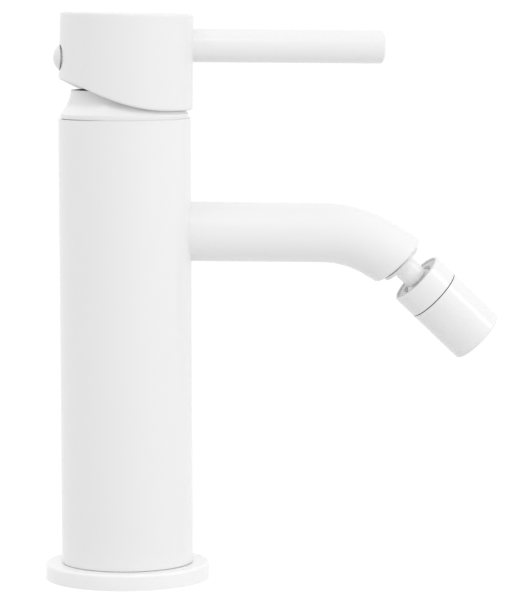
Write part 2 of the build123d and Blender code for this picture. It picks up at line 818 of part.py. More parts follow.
slot_half_y = stem_w / 2 + stem_gap
with BuildPart() as cartridge_turret:
    bore(Plane.XY, turret_low_z, turret_low_z + turret_flange_h, cavity_r - turret_flange_gap, Mode.ADD)
    bore(Plane.XY, turret_low_z, turret_top_z, turret_r, Mode.ADD)
    with BuildSketch(Plane.XY.offset(turret_low_z)) as slot:
        Rectangle(2 * turret_r * turret_slot_share, 2 * slot_half_y)
    extrude(slot.sketch, amount=turret_top_z - turret_low_z, mode=Mode.SUBTRACT)
    seal_groove(
        Plane.XY, turret_ring_z, turret_r - 2 * turret_ring_wire_r, turret_r + fit_gap, turret_ring_wire_r,
    )
    bore(pin_plane, -turret_r, turret_r, pin_r)
save(cartridge_turret, "cartridge_turret")

with BuildPart() as turret_seal:
    round_seal(
        Plane.XY, turret_ring_z, turret_r + fit_gap - seal_gap - turret_ring_wire_r, turret_ring_wire_r,
    )
save(turret_seal, "turret_seal")

pin_half_l = turret_r - pin_sink
with BuildPart() as pivot_pin:
    bore(pin_plane, -pin_half_l, pin_half_l, pin_r, Mode.ADD)
save(pivot_pin, "pivot_pin")

limiter_inner_r = turret_r + limiter_gap
limiter_r = limiter_inner_r + limiter_wall
with BuildPart() as limiter_ring:
    ring(Axis.Z, housing_neck_top_z, housing_neck_top_z + limiter_h, limiter_inner_r, limiter_r)
    with BuildSketch(Plane.XY.offset(housing_neck_top_z + limiter_h / 2)) as notch:
        with BuildLine():
            reach = limiter_r + overrun
            Polyline(
                (0, 0), (-reach, -reach * tan(radians(limiter_notch_angle))),
                (-reach, reach * tan(radians(limiter_notch_angle))), close=True,
            )
        make_face()
    extrude(notch.sketch, amount=limiter_h, mode=Mode.SUBTRACT)
save(limiter_ring, "limiter_ring")

# Lever stem: a square bar up into the head and an arm down to the disc carrier

foot_dir = (-sin(radians(rest_angle)), 0, -cos(radians(rest_angle)))

with BuildPart() as lever_stem:
    with BuildSketch(head_plane) as bar:
        Rectangle(stem_w, stem_w)
    extrude(bar.sketch, amount=stem_h)
    bore(pin_plane, -stem_w / 2, stem_w / 2, stem_w / 2, Mode.ADD)
    with BuildSketch(Plane(origin=pivot, x_dir=(0, 1, 0), z_dir=foot_dir)) as arm_root:
        Circle(arm_root_r)
    with BuildSketch(Plane(origin=foot, x_dir=(0, 1, 0), z_dir=foot_dir)) as arm_end:
        Circle(arm_waist_r)
    loft([arm_root.sketch.face(), arm_end.sketch.face()])
    with Locations(foot):
        Sphere(foot_r)
    bore(pin_plane, -stem_w, stem_w, pin_r + pin_gap)
save(lever_stem, "lever_stem")

# Lever head

blend_run = slope_blend_r * tan(radians(slope_angle / 2))
slope_rise = tan(radians(slope_angle))
slope_reach = head_low_r + overrun
socket_half = stem_w / 2 + fit_gap


def head_local(x, z):
    """A point of the head's section, measured from the head's own axis."""
    return (head_forward + x, z)


# The blank is longer below than the head, and one cut then gives the level edge and the slope
blank_low = head_low - overrun
blank_r = head_low_r + head_draft * overrun / (head_top - head_low)
cut_low = blank_low - overrun

with BuildPart() as lever_head:
    lathe(
        head_section, head_axis,
        [
            head_local(0, blank_low), head_local(blank_r, blank_low),
            head_local(head_top_r, head_top), head_local(0, head_top),
        ],
    )
    fillet(lever_head.edges().filter_by(GeomType.CIRCLE).sort_by(Axis(pivot, head_up))[-1], head_round)
    with BuildSketch(head_section) as under_slope:
        with BuildLine():
            front = head_local(blend_run, head_low)
            back = head_local(
                -blend_run * cos(radians(slope_angle)), head_low + blend_run * sin(radians(slope_angle)),
            )
            sag = slope_blend_r * (1 - cos(radians(slope_angle / 2)))
            middle = head_local(
                -(slope_blend_r * sin(radians(slope_angle / 2)) - blend_run),
                head_low + sag,
            )
            far = head_local(-slope_reach, head_low + slope_reach * slope_rise)
            ThreePointArc(front, middle, back)
            Polyline(
                back, far, head_local(-slope_reach, cut_low), head_local(slope_reach, cut_low),
                head_local(slope_reach, head_low), front,
            )
        make_face()
    extrude(under_slope.sketch, amount=slope_reach, both=True, mode=Mode.SUBTRACT)
    bore(Plane(head_centre, x_dir=head_ahead, z_dir=head_up), cut_low, head_cavity_top, head_cavity_r)
    pad_outer_x = sqrt(head_top_r**2 - (button_r + button_gap + pad_wall) ** 2) - fit_gap
    bore(screw_plane, pad_x, pad_outer_x - head_forward, button_r + button_gap + pad_wall, Mode.ADD)
    bore(screw_plane, button_seat_x, head_low_r + overrun, button_r + button_gap)
    bore(screw_plane, stem_w / 2, button_seat_x + overrun, screw_r + thread_gap)
    with BuildSketch(head_plane) as socket:
        Rectangle(2 * socket_half, 2 * socket_half)
    extrude(socket.sketch, amount=stem_h + fit_gap, mode=Mode.SUBTRACT)
    bore(rod_plane, rod_seat_x, head_low_r + 2 * overrun, rod_r + thread_gap)
    bore(rod_plane, rod_spigot_start - fit_gap, rod_seat_x + overrun, rod_spigot_r + thread_gap)
save(lever_head, "lever_head")

with BuildPart() as lever_rod:
    bore(rod_plane, rod_seat_x, rod_seat_x + rod_l, rod_r, Mode.ADD)
    chamfer(lever_rod.edges().filter_by(GeomType.CIRCLE).sort_by(Axis.X)[-1], rod_chamfer)
    bore(rod_plane, rod_spigot_start, rod_seat_x, rod_spigot_r, Mode.ADD)
save(lever_rod, "lever_rod")

with BuildPart() as head_grub_screw:
    tip_x = stem_w / 2 + thread_gap
    bore(screw_plane, tip_x, tip_x + screw_l, screw_r, Mode.ADD)
    with BuildSketch(Plane(screw_plane.origin + screw_plane.z_dir * (tip_x + screw_l), (0, 1, 0), screw_plane.z_dir)):
        RegularPolygon(screw_key_r, 6)
    extrude(amount=-screw_key_depth, mode=Mode.SUBTRACT)
save(head_grub_screw, "head_grub_screw")

with BuildPart() as cover_button:
    button_section = Plane(origin=screw_plane.origin, x_dir=screw_plane.z_dir, z_dir=(0, 1, 0))
    surface_x = head_low_r - (head_low_r - head_top_r) * (screw_z - head_low) / (head_top - head_low) - head_forward
    with BuildSketch(button_section) as dome:
        with BuildLine():
            rim_x = surface_x + button_rim
            dome_r = (button_r**2 + button_dome**2) / (2 * button_dome)
            turn = asin(button_r / dome_r) / 2
            Polyline(
                (rim_x + button_dome, 0), (button_seat_x, 0), (button_seat_x, button_stem_r),
                (rim_x, button_stem_r), (rim_x, button_r),
            )
            ThreePointArc(
                (rim_x, button_r),
                (rim_x + button_dome - dome_r * (1 - cos(turn)), dome_r * sin(turn)),
                (rim_x + button_dome, 0),
            )
        make_face()
    revolve(dome.sketch, axis=Axis(screw_plane.origin, screw_plane.z_dir))
save(cover_button, "cover_button")

print("pivot", pivot)
print("ball centre", [spout_end[i] + outlet_dir[i] * ball_t for i in range(3)])
print("outlet direction", outlet_dir)
print("disc travel per radian", 2 * arm_l * sin(radians(rest_angle)) / radians(lift_range))
print("cartridge cavity", cavity_r, "disc reach", moving_disc_r - disc_rest_x)
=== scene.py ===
# %% [markdown]
# # A white bidet mixer
# A bidet mixer is a small upright tap with one lever and a spout that ends in a swivelling outlet.
# Every part one sees is brass under the same satin white coating, so its looks come from soft shade,
# rounded edges and the thin dark seams between the parts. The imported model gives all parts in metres,
# with the underside of the foot at z = 0, the spout and the lever along +X and the body's axis on Z.

import bpy
import numpy as np
from mathutils import Matrix, Vector


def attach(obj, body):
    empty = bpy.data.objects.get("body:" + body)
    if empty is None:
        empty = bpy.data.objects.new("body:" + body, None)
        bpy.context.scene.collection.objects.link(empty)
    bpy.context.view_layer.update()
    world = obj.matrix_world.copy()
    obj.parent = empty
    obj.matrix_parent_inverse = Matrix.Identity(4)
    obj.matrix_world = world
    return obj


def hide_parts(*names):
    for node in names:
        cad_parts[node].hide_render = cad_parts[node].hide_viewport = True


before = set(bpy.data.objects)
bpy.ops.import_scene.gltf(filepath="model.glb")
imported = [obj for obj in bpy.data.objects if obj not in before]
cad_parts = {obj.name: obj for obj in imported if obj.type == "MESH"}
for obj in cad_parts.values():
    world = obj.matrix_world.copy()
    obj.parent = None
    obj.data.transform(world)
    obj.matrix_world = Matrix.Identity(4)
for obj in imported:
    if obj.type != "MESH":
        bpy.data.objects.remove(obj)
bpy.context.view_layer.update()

MM = 0.001

# %% [markdown]
# ## The camera
# The view is that of a catalogue picture: a long lens, a little above the top and ten degrees round
# to the back of the spout, so the upright lines stay parallel. It could be aimed with a constraint.
# Its three axes are written out instead, because they were solved from the outline of the mixer.

# %% Make the camera
eye = Vector((-150.595, -1114.103, 204.554)) * MM
right = Vector((0.98467258, -0.17438466, -0.00314594))
upward = Vector((0.01993026, 0.09458157, 0.99531759))
ahead = Vector((0.17327057, 0.98012464, -0.09660741))
lens_data = bpy.data.cameras.new("catalogue_lens")
lens_data.sensor_width = 36.0
lens_data.lens = 198.22
lens_data.clip_start = 0.05
lens_data.clip_end = 200.0
camera = bpy.data.objects.new("catalogue_camera", lens_data)
turn = Matrix((right, upward, -ahead)).transposed()
camera.matrix_world = Matrix.Translation(eye) @ turn.to_4x4()
bpy.context.scene.collection.objects.link(camera)
bpy.context.scene.camera = camera
bpy.context.scene.view_settings.view_transform = "Standard"
print("camera distance in mm", round(eye.length / MM))

# %% [markdown]
# ## Sums on sockets
# A finish is worked out by nodes, and a sum of two patterns is a Math node with two links. A long
# chain of them is hard to read, so one small class wraps a socket: writing `0.3 + 0.1 * grain` then
# adds the Math nodes. Another class holds a node tree and adds any other node by its type, with its
# settings first and its inputs after them. A third one is such a tree in a material of its own.

# %% Wrap sockets, node trees and materials
WHITE = (1.0, 1.0, 1.0, 1.0)


class Level:
    """A number that varies over a surface: one output socket, on which sums can be written."""

    def __init__(self, nodes, socket):
        self.nodes = nodes
        self.socket = socket

    def join(self, operation, first, second):
        return self.nodes.node("ShaderNodeMath", {"operation": operation}, {0: first, 1: second})["Value"]

    def __add__(self, other):
        return self.join("ADD", self, other)

    __radd__ = __add__

    def __rsub__(self, other):
        return self.join("SUBTRACT", other, self)

    def __mul__(self, other):
        return self.join("MULTIPLY", self, other)

    __rmul__ = __mul__

    def __gt__(self, other):
        return self.join("GREATER_THAN", self, other)


class Nodes:
    """A node tree, emptied first."""

    def __init__(self, tree):
        self.tree = tree
        self.tree.nodes.clear()

    def node(self, kind, settings=None, inputs=None):
        """Adds a node and gives its outputs by name."""
        made = self.tree.nodes.new(kind)
        for key, value in (settings or {}).items():
            setattr(made, key, value)
        for key, value in (inputs or {}).items():
            if isinstance(value, Level):
                self.tree.links.new(value.socket, made.inputs[key])
            else:
                made.inputs[key].default_value = value
        return {out.name: Level(self, out) for out in made.outputs if out.enabled}

    def shown(self):
        """1 for what the camera sees directly, in a reflection or through glass, 0 for plain light."""
        rays = self.node("ShaderNodeLightPath")
        return rays["Is Camera Ray"] + rays["Is Glossy Ray"] + rays["Is Transmission Ray"]


class Finish(Nodes):
    """A material for one finish of the mixer."""

    def __init__(self, name):
        self.material = bpy.data.materials.new(name)
        self.material.use_nodes = True
        super().__init__(self.material.node_tree)
        self.place = self.node("ShaderNodeTexCoord")["Object"]

    def noise(self, per_metre, detail, roughness, stretch=None):
        """Cloudy noise with a blot every 1 / per_metre metres, stretched along an axis if asked."""
        place = self.place
        if stretch:
            place = self.node("ShaderNodeMapping", {}, {"Vector": place, "Scale": stretch})["Vector"]
        settings = {"Vector": place, "Scale": per_metre, "Detail": detail, "Roughness": roughness}
        return self.node("ShaderNodeTexNoise", {}, settings)["Fac"]

    def cells(self, per_metre):
        """Distance to the nearest of many scattered points, per_metre of them to a metre."""
        inputs = {"Vector": self.place, "Scale": per_metre}
        return self.node("ShaderNodeTexVoronoi", {}, inputs)["Distance"]

    def ramp(self, level, start, end):
        """0 at start and beyond, 1 at end and beyond, even in between; start may be the higher one."""
        inputs = {"Value": level, "From Min": start, "From Max": end}
        return self.node("ShaderNodeMapRange", {}, inputs)["Result"]

    def tint(self, factor, low, high):
        """A colour between two colours, by a level between 0 and 1."""
        inputs = {0: factor}
        for key, colour in ((6, low), (7, high)):
            inputs[key] = colour if isinstance(colour, Level) else (*colour, 1.0)
        return self.node("ShaderNodeMix", {"data_type": "RGBA", "clamp_factor": True}, inputs)["Result"]

    def relief(self, height, depth, strength):
        """The normal of a relief that is depth metres deep where height runs from 0 to 1."""
        inputs = {"Height": height, "Distance": depth, "Strength": strength}
        return self.node("ShaderNodeBump", {}, inputs)["Normal"]

    def shader(self, **inputs):
        """Ends the material in a Principled shader. Words are its socket names with _ for spaces."""
        named = {key.replace("_", " "): value for key, value in inputs.items()}
        surface = self.node("ShaderNodeBsdfPrincipled", {}, named)["BSDF"]
        self.node("ShaderNodeOutputMaterial", {}, {"Surface": surface})
        return self.material


print("finish helpers ready")

# %% [markdown]
# ## The studio
# The picture was taken on white, with most of the light from the front and the right. One bright sky
# would light the mixer evenly and hide its shape, so it is dimmed. Three small lamps make the soft
# streaks on the spout and the outlet, and five broad ones the slow change from side to side. The broad
# ones are hidden from reflections, or a flat face that mirrors one would turn as white as the paper.
# The floor and the sky look white to the camera and in reflections only, so they add no light, and the
# floor still takes a shadow.

# %% Light the studio
FLOOR_ALBEDO = 0.755
FLOOR_GLOW = 1.05
FLOOR_SHOWN = 0.86
FLOOR_HALF = 60.0
SKY_LEVEL = 0.8
AIM = Vector((0.03, 0.0, 0.1))
BROAD = 0.9


def soft_box(name, place, size, watts):
    """A square area lamp that faces the middle of the mixer. A broad one shows in no reflection."""
    data = bpy.data.lights.new(name, "AREA")
    data.shape = "SQUARE"
    data.size = size
    data.energy = watts
    lamp = bpy.data.objects.new(name, data)
    lamp.location = place
    lamp.rotation_mode = "QUATERNION"
    lamp.rotation_quaternion = (AIM - Vector(place)).to_track_quat("-Z", "Y")
    lamp.visible_glossy = size < BROAD
    bpy.context.scene.collection.objects.link(lamp)


BOXES = {
    "box_front_top": ((0.0, -1.2, 1.3), 0.45, 3.05),
    "box_key_right": ((1.32, -0.7, 0.87), 0.36, 1.75),
    "box_key_left": ((-0.95, -0.65, 1.4), 0.4, 1.55),
    "box_front_right": ((0.9, -1.3, 0.3), BROAD, 2.35),
    "box_right": ((1.6, -0.1, 0.3), BROAD, 2.55),
    "box_above": ((0.03, 0.0, 1.6), BROAD, 1.3),
    "box_back_left": ((-1.1, 1.1, 0.8), BROAD, 3.6),
    "box_back_top": ((0.0, 1.2, 1.3), BROAD, 0.8),
}
for name, box in BOXES.items():
    soft_box(name, *box)

sky = bpy.data.worlds.new("white_sky")
sky.use_nodes = True
bpy.context.scene.world = sky
backdrop = Nodes(sky.node_tree)
dim = backdrop.node("ShaderNodeBackground", {}, {"Color": WHITE, "Strength": SKY_LEVEL})["Background"]
bright = backdrop.node("ShaderNodeBackground", {}, {"Color": WHITE})["Background"]
either = backdrop.node("ShaderNodeMixShader", {}, {0: backdrop.shown(), 1: dim, 2: bright})["Shader"]
backdrop.node("ShaderNodeOutputWorld", {}, {"Surface": either})
print("lamps", len(BOXES), "sky level", SKY_LEVEL)

# %% Lay the floor
floor_mesh = bpy.data.meshes.new("studio_floor")
corners = [(x * FLOOR_HALF, y * FLOOR_HALF, 0.0) for x, y in ((-1, -1), (1, -1), (1, 1), (-1, 1))]
floor_mesh.from_pydata(corners, [], [(0, 1, 2, 3)])
floor = bpy.data.objects.new("studio_floor", floor_mesh)
bpy.context.scene.collection.objects.link(floor)
paper = Finish("floor_paper")
shown = paper.shown()
tone = FLOOR_ALBEDO + (1.0 - FLOOR_ALBEDO) * shown
shade = paper.node("ShaderNodeCombineColor", {}, {"Red": tone, "Green": tone, "Blue": tone})["Color"]
matte = paper.node("ShaderNodeBsdfDiffuse", {}, {"Color": shade})["BSDF"]
glow = paper.node("ShaderNodeEmission", {}, {"Color": WHITE, "Strength": FLOOR_GLOW})["Emission"]
mixed = paper.node("ShaderNodeMixShader", {}, {0: shown * FLOOR_SHOWN, 1: matte, 2: glow})["Shader"]
paper.node("ShaderNodeOutputMaterial", {}, {"Surface": mixed})
floor_mesh.materials.append(paper.material)
print("floor", 2 * FLOOR_HALF, "m across")

# %% [markdown]
# ## The white coating
# The mixer is brass with a satin white powder coating, melted on in an oven. Close up such a coating
# isn't flat: it has a very shallow orange peel about a millimetre across, a finer grain, and a few
# pinheads of dust. A plain white colour would look like plastic, and a picture of paint would need an
# image, so noise at those two scales feeds a shallow relief and the roughness. The tone differs a
# little from part to part: the head and the button are darker as painted shade, and the rosette is
# lighter as painted light. The hollow of the collar gets a paler band between two heights, a painted
# highlight. Each noise below is given by its blots per metre, its octaves and how much the finer
# octaves count.

# %% Mix the white coating
PEEL = (700.0, 2.0, 0.45)
GRAIN = (3300.0, 2.0, 0.6)
CLOUD = (26.0, 3.0, 0.55)
DUST_PER_METRE, DUST_FINENESS = 240.0, 14.0
PEEL_DEPTH, PEEL_STRENGTH = 0.006 * MM, 0.6
SATIN, BUTTON_SATIN = 0.2, 0.24
# The head and the button get darker tones as painted shade, and the rosette a lighter one as painted
# light.
COATING_TONE, HEAD_PAINTED_SHADE_TONE, COLLAR_TONE, ROSETTE_PAINTED_LIGHT_TONE, BUTTON_PAINTED_SHADE_TONE = 0.84, 0.825, 0.83, 0.9, 0.80
PAINTED_HIGHLIGHT_LOW, PAINTED_HIGHLIGHT_HIGH, PAINTED_HIGHLIGHT_TONE = 158.9 * MM, 163.0 * MM, 0.93
PAINTED_HIGHLIGHT_RISE, PAINTED_HIGHLIGHT_FALL = 0.8 * MM, 1.6 * MM


def coating(name, tone, gloss, painted_highlight=False):
    """Satin paint: peel blots of 1.4 mm, grain of 0.3 mm, relief of 6 thousandths of a millimetre.
    With a painted highlight asked for, the colour turns to a paler tone between two heights."""
    paint = Finish(name)
    peel = paint.noise(*PEEL)
    grain = paint.noise(*GRAIN)
    cloud = paint.noise(*CLOUD)
    dust = 1.0 - (paint.cells(DUST_PER_METRE) * DUST_FINENESS > 1.0)
    colour = paint.tint(cloud, [tone * 0.992] * 3, [tone * 1.006] * 3)
    # A paler band between two heights is a painted highlight on the hollow of the collar.
    if painted_highlight:
        level = paint.node("ShaderNodeSeparateXYZ", {}, {0: paint.place})["Z"]
        above = paint.ramp(level, PAINTED_HIGHLIGHT_LOW, PAINTED_HIGHLIGHT_LOW + PAINTED_HIGHLIGHT_RISE)
        below = paint.ramp(level, PAINTED_HIGHLIGHT_HIGH, PAINTED_HIGHLIGHT_HIGH - PAINTED_HIGHLIGHT_FALL)
        colour = paint.tint(above * below, colour, [PAINTED_HIGHLIGHT_TONE] * 3)
    height = peel * 0.7 + grain * 0.3 + dust * 0.5
    return paint.shader(
        Base_Color=colour, Roughness=gloss + 0.05 * peel + 0.03 * grain,
        Normal=paint.relief(height, PEEL_DEPTH, PEEL_STRENGTH),
    )


white_coating = coating("white_coating", COATING_TONE, SATIN)
# Copies of one coating: painted shade on the head and the button, painted light on the rosette.
head_coating_painted_shade = coating("head_coating_painted_shade", HEAD_PAINTED_SHADE_TONE, SATIN)
rosette_coating_painted_light = coating("rosette_coating_painted_light", ROSETTE_PAINTED_LIGHT_TONE, SATIN)
# The collar's coating carries a painted highlight: a paler band round its hollow.
collar_coating_painted_highlight = coating("collar_coating_painted_highlight", COLLAR_TONE, SATIN, painted_highlight=True)
button_gloss_painted_shade = coating("button_gloss_painted_shade", BUTTON_PAINTED_SHADE_TONE, BUTTON_SATIN)
print("coating tone", COATING_TONE)

# %% [markdown]
# ## The ball and its neck
# The ball that the outlet turns on can't be coated, or the coating would rub off in its seat. It is
# burnished brass under a satin plating, and the coating of the neck ends where the ball begins. The
# two finishes share one material: the distance from the centre of the ball says which one a point has.

# %% Mix the finish of the ball nipple
BALL_CENTRE = np.array([105.968, 0.0, 97.086])
BALL_R = 7.3
COATING_START, PLATING_END = 0.12, 0.04
# The neck's coating is given a paler tone than the rest: painted light.
NECK_PAINTED_LIGHT_TONE = 0.93
PLATING = (0.6, 0.6, 0.61)


def plated_ball(name):
    """The coating on the neck, paler than the other white parts as painted light, and satin plating on
    the ball, with a soft line between them.
    """
    metal = Finish(name)
    peel = metal.noise(*PEEL)
    wear = metal.noise(900.0, 3.0, 0.6, (1.0, 0.2, 1.0))
    ends = {0: metal.place, 1: BALL_CENTRE * MM}
    away = metal.node("ShaderNodeVectorMath", {"operation": "DISTANCE"}, ends)["Value"]
    on_ball = metal.ramp(away, (BALL_R + COATING_START) * MM, (BALL_R + PLATING_END) * MM)
    return metal.shader(
        Base_Color=metal.tint(on_ball, [NECK_PAINTED_LIGHT_TONE] * 3, PLATING), Metallic=on_ball,
        Roughness=0.24 + 0.05 * peel + on_ball * 0.06 * wear,
        Normal=metal.relief(peel, PEEL_DEPTH, PEEL_STRENGTH),
    )


ball_finish = plated_ball("plated_ball_joint")
print("plating reaches", BALL_R + PLATING_END, "mm from the centre of the ball")

# %% [markdown]
# ## Rubber, plastics, metals and ceramic
# Most of the inner parts hide behind the coating, but they show in the seams, under the foot and in
# the outlet. Each gets the marks of how it is made: moulded plastic has a faint flow grain, rubber a
# dull bloom, turned brass and steel fine rings across the axis, drawn copper lines along it, and the
# ceramic discs are ground flat.

# %% Mix the inner finishes
ALONG_Z, ROUND_Z = (1.0, 1.0, 0.03), (0.05, 0.05, 1.0)


def moulded(name, colour, gloss):
    """Moulded plastic: flow clouds of 8 mm and a spark-eroded grain 10 thousandths of a mm deep."""
    plastic = Finish(name)
    flow = plastic.noise(120.0, 3.0, 0.5)
    grain = plastic.noise(2500.0, 2.0, 0.6)
    low = [c * 0.94 for c in colour]
    high = [min(c * 1.05, 1.0) for c in colour]
    return plastic.shader(
        Base_Color=plastic.tint(flow, low, high), Roughness=gloss + 0.1 * grain,
        Normal=plastic.relief(grain, 0.01 * MM, 0.7),
    )


def rubber(name):
    """Black rubber: a dull bloom in blots of 2 mm over a fine sanded grain."""
    black = Finish(name)
    bloom = black.noise(500.0, 4.0, 0.6)
    grain = black.noise(4000.0, 2.0, 0.5)
    return black.shader(
        Base_Color=black.tint(bloom, (0.012, 0.012, 0.013), (0.035, 0.035, 0.036)),
        Roughness=0.62 + 0.25 * bloom, Normal=black.relief(grain, 0.012 * MM, 0.6),
    )


def machined(name, colour, gloss, stretch):
    """Metal with tool lines: noise stretched along one axis or two, so that its blots become lines."""
    metal = Finish(name)
    lines = metal.noise(1500.0, 3.0, 0.6, stretch)
    stain = metal.noise(90.0, 3.0, 0.5)
    low = [c * 0.86 for c in colour]
    return metal.shader(
        Base_Color=metal.tint(stain, low, colour), Metallic=1.0, Roughness=gloss + 0.16 * lines,
        Normal=metal.relief(lines, 0.004 * MM, 0.8),
    )


def ground_ceramic(name):
    """Sintered ceramic, ground flat: grain of 0.15 mm and faint grey specks."""
    disc = Finish(name)
    grain = disc.noise(6500.0, 2.0, 0.5)
    speck = disc.cells(900.0) * 9.0 > 1.0
    return disc.shader(
        Base_Color=disc.tint(speck, (0.68, 0.67, 0.64), (0.88, 0.87, 0.84)),
        Roughness=0.2 + 0.1 * grain, Normal=disc.relief(grain, 0.002 * MM, 0.6),
    )


finishes = {
    "white_paint": white_coating,
    "white_trim": button_gloss_painted_shade,
    "black_rubber": rubber("seal_rubber"),
    "grey_plastic": moulded("grey_moulding", (0.66, 0.66, 0.665), 0.42),
    "white_plastic": moulded("white_moulding", (0.82, 0.82, 0.81), 0.34),
    "blue_plastic": moulded("cartridge_blue", (0.12, 0.24, 0.42), 0.36),
    "ceramic": ground_ceramic("ground_disc"),
    "brass": machined("turned_brass", (0.72, 0.52, 0.24), 0.24, ROUND_Z),
    "steel": machined("turned_steel", (0.62, 0.62, 0.61), 0.22, ROUND_Z),
    "copper_tube": machined("drawn_copper", (0.78, 0.43, 0.3), 0.26, ALONG_Z),
}
own_finishes = {
    "ball_nipple": ball_finish, "dome_collar": collar_coating_painted_highlight, "base_rosette": rosette_coating_painted_light,
}
for name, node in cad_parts.items():
    for place in node.material_slots:
        slot_name = place.material.name.split(".")[0]
        place.material = own_finishes.get(name, finishes[slot_name])
print("finishes", len(finishes))

# %% [markdown]
# ## Surfaces from arrays
# A turned part is a grid: one row for every station of its profile and one column for every step
# round its axis. Whole arrays give all points at once, and the faces follow from the row and column
# numbers. A modifier or a sculpted mesh could do it too, but a formula can be read and changed. All
# sizes from here on are in millimetres.

# %% Helpers for grids of points
def wrapped_quads(rows, columns):
    """Faces between neighbouring rows of a grid whose last column joins its first."""
    start = np.arange(rows - 1)[:, None] * columns
    here = start + np.arange(columns)[None, :]
    after = start + (np.arange(columns)[None, :] + 1) % columns
    return np.stack([here, after, after + columns, here + columns], -1)


def turns(steps):
    """Equal steps of angle round a full circle."""
    return np.arange(steps) * 2.0 * np.pi / steps


def fan(pole, loop):
    """Triangles from one vertex to every edge of a closed loop of vertices."""
    loop = np.asarray(loop)
    return np.stack([np.full(len(loop), pole), loop, np.roll(loop, -1)], -1)


NO_TRIANGLES = np.zeros((0, 3), int)


def surface(name, points, quads, triangles, finish, slot, body, sharp=40.0):
    """A mesh of points in millimetres that rides on a body. Edges over sharp degrees stay hard."""
    mesh = bpy.data.meshes.new(name)
    faces = quads.reshape(-1, 4).tolist() + triangles.reshape(-1, 3).tolist()
    mesh.from_pydata((points * MM).tolist(), [], faces)
    mesh.polygons.foreach_set("use_smooth", np.ones(len(faces), bool))
    mesh.set_sharp_from_angle(angle=np.radians(sharp))
    mesh.materials.append(finish)
    piece = bpy.data.objects.new(name, mesh)
    bpy.context.scene.collection.objects.link(piece)
    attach(piece, body)
    print(name, len(points), "points", len(faces), "faces")
    return piece


# %% [markdown]
# ## The lever head
# The head is a cast cup over the cartridge, cut on a slope under its back so that it can tip, and the
# coating pools on its edges and leaves them softly rounded. The slope meets the wall at an angle that
# changes all the way round, which a plain edge fillet can't follow, so the edge is computed: in every
# upright plane through the axis it is an arc that touches both the wall and the underside.

# %% Give the sizes of the lever head
SIDEWAYS = np.array([0.0, 1.0, 0.0])
HEAD_TILT = np.radians(1.3)
head_ahead = np.array([np.cos(HEAD_TILT), 0.0, -np.sin(HEAD_TILT)])
head_up = np.array([np.sin(HEAD_TILT), 0.0, np.cos(HEAD_TILT)])
HEAD_CENTRE = np.array([0.0, 0.0, 163.0]) + 0.35 * head_ahead
HEAD_LOW, HEAD_TOP = -2.0, 30.4
LOW_R, TOP_R, CAVITY_R, CEILING = 22.9, 22.55, 20.6, 12.0
SLOPE, BLEND_R = np.radians(23.4), 60.0
BLEND_RUN = BLEND_R * np.tan(SLOPE / 2)
LIP_ROUND, MOUTH_ROUND, TOP_ROUND, CORNER_ROUND = 0.85, 1.25, 0.8, 0.6
HOLE_Z, HOLE_R, HOLE_ROUND, HOLE_FLOOR = 15.0, 4.3, 0.2, 21.35
COLUMNS, SIDE_ROWS, TOP_ARC, TOP_RINGS = 480, 60, 7, (0.9, 0.65, 0.35, 0.12)
print("head", HEAD_TOP - HEAD_LOW, "mm high,", COLUMNS, "columns")


# %% Stack the rows of the head
def wall_radius(z):
    """The head's outer radius at a height: it narrows evenly from the low edge to the top."""
    return LOW_R - (LOW_R - TOP_R) * (z - HEAD_LOW) / (HEAD_TOP - HEAD_LOW)


def underside(x):
    """Height and slope of the underside: level in front, an arc, then straight up to the back."""
    bend = BLEND_RUN - x
    inside = np.clip(bend, 0.0, BLEND_R * np.sin(SLOPE))
    arc = HEAD_LOW + BLEND_R - np.sqrt(BLEND_R**2 - inside**2)
    straight = np.maximum(bend - BLEND_R * np.sin(SLOPE), 0.0)
    lean = -inside / np.sqrt(BLEND_R**2 - inside**2)
    return arc + straight * np.tan(SLOPE), lean


def hollow_rows(theta):
    """Rows of radius and height from the middle of the ceiling down the hollow and round its mouth."""
    ones = np.ones_like(theta)
    flat = CAVITY_R - CORNER_ROUND
    rows = [(flat * part * ones, CEILING * ones) for part in (0.15, 0.4, 0.7, 1.0)]
    for a in np.linspace(0.0, np.pi / 2, 6)[1:]:
        corner = CEILING - CORNER_ROUND + CORNER_ROUND * np.cos(a)
        rows.append(((flat + CORNER_ROUND * np.sin(a)) * ones, corner * ones))
    height, lean = underside(CAVITY_R * np.cos(theta))
    m = lean * np.cos(theta)
    mouth_z = height + MOUTH_ROUND * (m + np.sqrt(1.0 + m**2))
    wall_top = CEILING - CORNER_ROUND
    for part in np.linspace(0.0, 1.0, 12)[1:]:
        rows.append((CAVITY_R * ones, wall_top + (mouth_z - wall_top) * part))
    for part in np.linspace(0.0, 1.0, 8)[1:]:
        a = np.pi + part * (np.pi / 2 + np.arctan(m))
        rows.append((CAVITY_R + MOUTH_ROUND * (1.0 + np.cos(a)), mouth_z + MOUTH_ROUND * np.sin(a)))
    return rows


